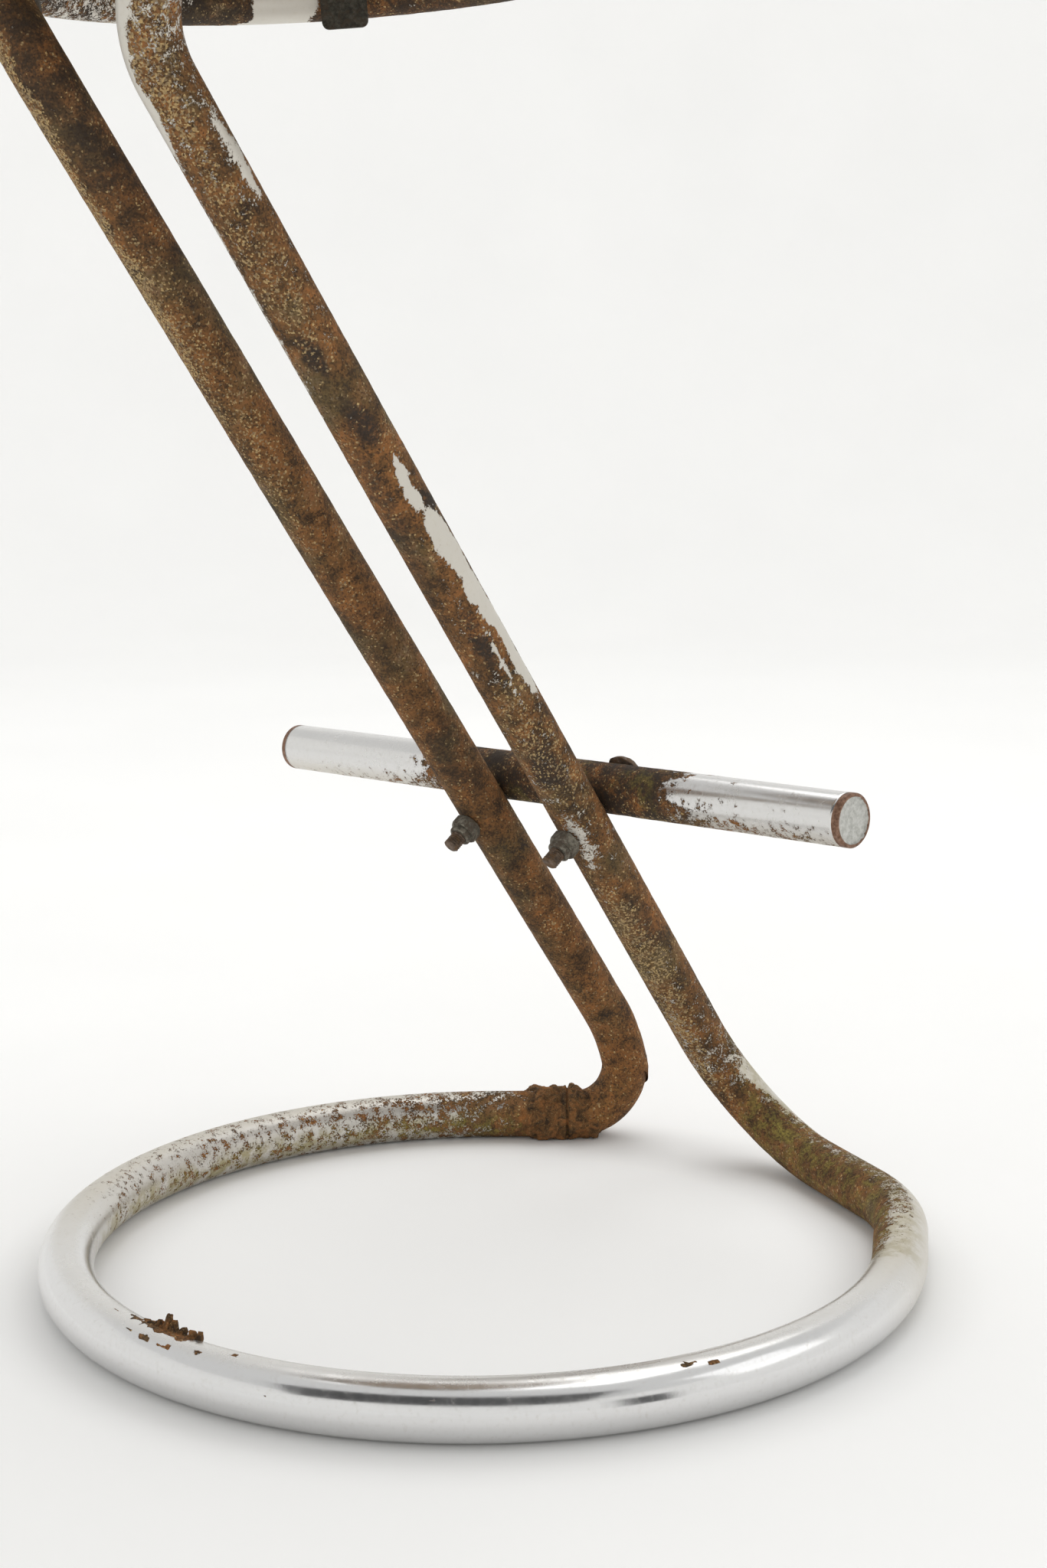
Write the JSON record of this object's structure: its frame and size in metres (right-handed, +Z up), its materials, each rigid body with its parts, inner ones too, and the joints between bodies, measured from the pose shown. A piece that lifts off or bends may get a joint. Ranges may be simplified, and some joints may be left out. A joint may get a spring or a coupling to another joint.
{
  "type": "bar stool",
  "caption": "Z-shaped bar stool of bent round steel tube: ring base, twin leaning struts, round padded seat on a ring, and a straight footrest bolted across the struts.",
  "frame": {"origin": "on the floor, at the middle of the base ring", "axes": "+Z up, -Y towards the sitter's knees and the footrest, +X to the sitter's left"},
  "size_m": [0.4663, 0.4382, 0.6765],
  "materials": {
    "frame_tube": "chromed steel tube, the struts and joints rusted brown with pale worn patches, the ring's front bright",
    "footrest_chrome": "worn chrome with brown pitting",
    "bare_steel": "bare steel, inside the tube",
    "weld_steel": "crusted rusty weld",
    "cap_metal": "dull pressed metal with a rusted rim",
    "rusty_bolt": "brown rust",
    "dull_nut": "dull dark grey-olive steel",
    "nylon": "pale nylon",
    "lug_steel": "dull dark olive-grey steel",
    "screw_steel": "dull zinc with some rust",
    "plywood": "aged birch plywood",
    "foam": "aged yellow foam",
    "seat_vinyl": "worn black vinyl with fine grain",
    "piping_vinyl": "worn black vinyl"
  },
  "bodies": {
    "root": {"lower_frame_tube": "frame_tube", "upper_frame_tube": "frame_tube", "foot_joint_sleeve": "bare_steel", "seat_joint_sleeve": "bare_steel", "foot_joint_weld": "weld_steel", "seat_joint_weld": "weld_steel", "footrest_tube": "footrest_chrome", "footrest_cap_left": "cap_metal", "footrest_cap_right": "cap_metal", "footrest_bolt_left": "rusty_bolt", "footrest_bolt_right": "rusty_bolt", "lock_nut_left": "dull_nut", "lock_nut_right": "dull_nut", "lock_nut_inserts": "nylon", "seat_lug_1": "lug_steel", "seat_lug_2": "lug_steel", "seat_lug_3": "lug_steel", "seat_lug_4": "lug_steel", "seat_screws": "screw_steel", "seat_board": "plywood", "seat_foam": "foam", "seat_cover": "seat_vinyl", "seat_piping": "piping_vinyl"}
  },
  "joints": []
}
